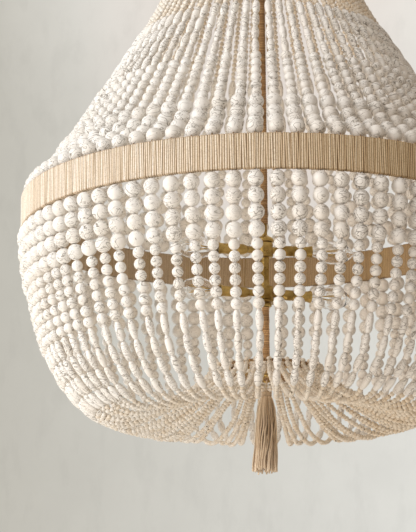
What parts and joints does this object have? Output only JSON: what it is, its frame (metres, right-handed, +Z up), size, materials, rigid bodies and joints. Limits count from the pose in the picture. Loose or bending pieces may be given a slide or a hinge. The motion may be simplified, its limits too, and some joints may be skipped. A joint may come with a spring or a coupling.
{
  "type": "beaded chandelier",
  "caption": "Ceiling chandelier of stone bead strings swept from a crown ring over a wide jute-wrapped hoop to a small ring with a tassel, on a short chain.",
  "frame": {"origin": "Centre of the ceiling plate's top face, where the chandelier meets the ceiling.", "axes": "+Z up along the stem, +X to the right and -Y towards the viewer of the picture."},
  "size_m": [0.6489, 0.6489, 0.97],
  "materials": {
    "bead_stone": "Polished white veined stone beads, satin sheen.",
    "jute": "Natural jute yarn, closely wound.",
    "tassel_yarn": "Loose taupe cotton and jute yarn.",
    "painted_steel": "Steel frame, painted to match the jute, satin.",
    "aged_brass": "Brass with an aged olive tone, satin.",
    "bulb_glass": "Clear thin glass.",
    "bulb_metal": "Bright screw base of a lamp."
  },
  "bodies": {
    "canopy": {"ceiling_plate": "painted_steel", "canopy": "aged_brass", "canopy_loop": "aged_brass", "canopy_collar": "aged_brass"},
    "link_1": {"chain_link_1": "aged_brass"},
    "link_2": {"chain_link_2": "aged_brass"},
    "link_3": {"chain_link_3": "aged_brass"},
    "fixture": {"top_loop": "aged_brass", "stem_pipe": "aged_brass", "stem_wrap_top": "jute", "stem_wrap_middle": "jute", "stem_wrap_bottom": "jute", "crown_ring": "painted_steel", "crown_nut": "aged_brass", "main_hoop": "painted_steel", "hoop_jute_wrap": "jute", "frame_rib_1": "painted_steel", "frame_rib_2": "painted_steel", "frame_rib_3": "painted_steel", "frame_rib_4": "painted_steel", "bottom_ring": "painted_steel", "upper_strands_1": "bead_stone", "upper_strands_2": "bead_stone", "upper_strands_3": "bead_stone", "upper_strands_4": "bead_stone", "upper_strands_5": "bead_stone", "upper_strands_6": "bead_stone", "upper_strands_7": "bead_stone", "lower_strands_1": "bead_stone", "lower_strands_2": "bead_stone", "lower_strands_3": "bead_stone", "lower_strands_4": "bead_stone", "lower_strands_5": "bead_stone", "lower_strands_6": "bead_stone", "lower_strands_7": "bead_stone", "cluster_cap": "aged_brass", "upper_cluster_body": "aged_brass", "cluster_spacer": "aged_brass", "lower_cluster_body": "aged_brass", "cluster_disc": "aged_brass", "cluster_nut": "aged_brass", "socket_1": "aged_brass", "socket_2": "aged_brass", "socket_3": "aged_brass", "socket_4": "aged_brass", "bulb_base_1": "bulb_metal", "bulb_base_2": "bulb_metal", "bulb_base_3": "bulb_metal", "bulb_base_4": "bulb_metal", "bulb_glass_1": "bulb_glass", "bulb_glass_2": "bulb_glass", "bulb_glass_3": "bulb_glass", "bulb_glass_4": "bulb_glass", "bottom_eye": "aged_brass"},
    "tassel": {"tassel_cord": "tassel_yarn", "tassel": "tassel_yarn", "tassel_band": "tassel_yarn"}
  },
  "joints": [
    {"name": "link_1_swing", "type": "hinge", "parent": "canopy", "child": "link_1", "pos_m": [0, 0, -0.061], "axis": [1, 0, 0], "range_deg": [-15, 15]},
    {"name": "link_2_swing", "type": "hinge", "parent": "link_1", "child": "link_2", "pos_m": [0, 0, -0.0927], "axis": [0, 1, 0], "range_deg": [-15, 15]},
    {"name": "link_3_swing", "type": "hinge", "parent": "link_2", "child": "link_3", "pos_m": [0, 0, -0.1244], "axis": [1, 0, 0], "range_deg": [-15, 15]},
    {"name": "fixture_swing", "type": "hinge", "parent": "link_3", "child": "fixture", "pos_m": [0, 0, -0.1561], "axis": [0, 1, 0], "range_deg": [-15, 15]},
    {"name": "tassel_swing", "type": "hinge", "parent": "fixture", "child": "tassel", "pos_m": [0, 0, -0.856], "axis": [1, 0, 0], "range_deg": [-30, 30]}
  ]
}
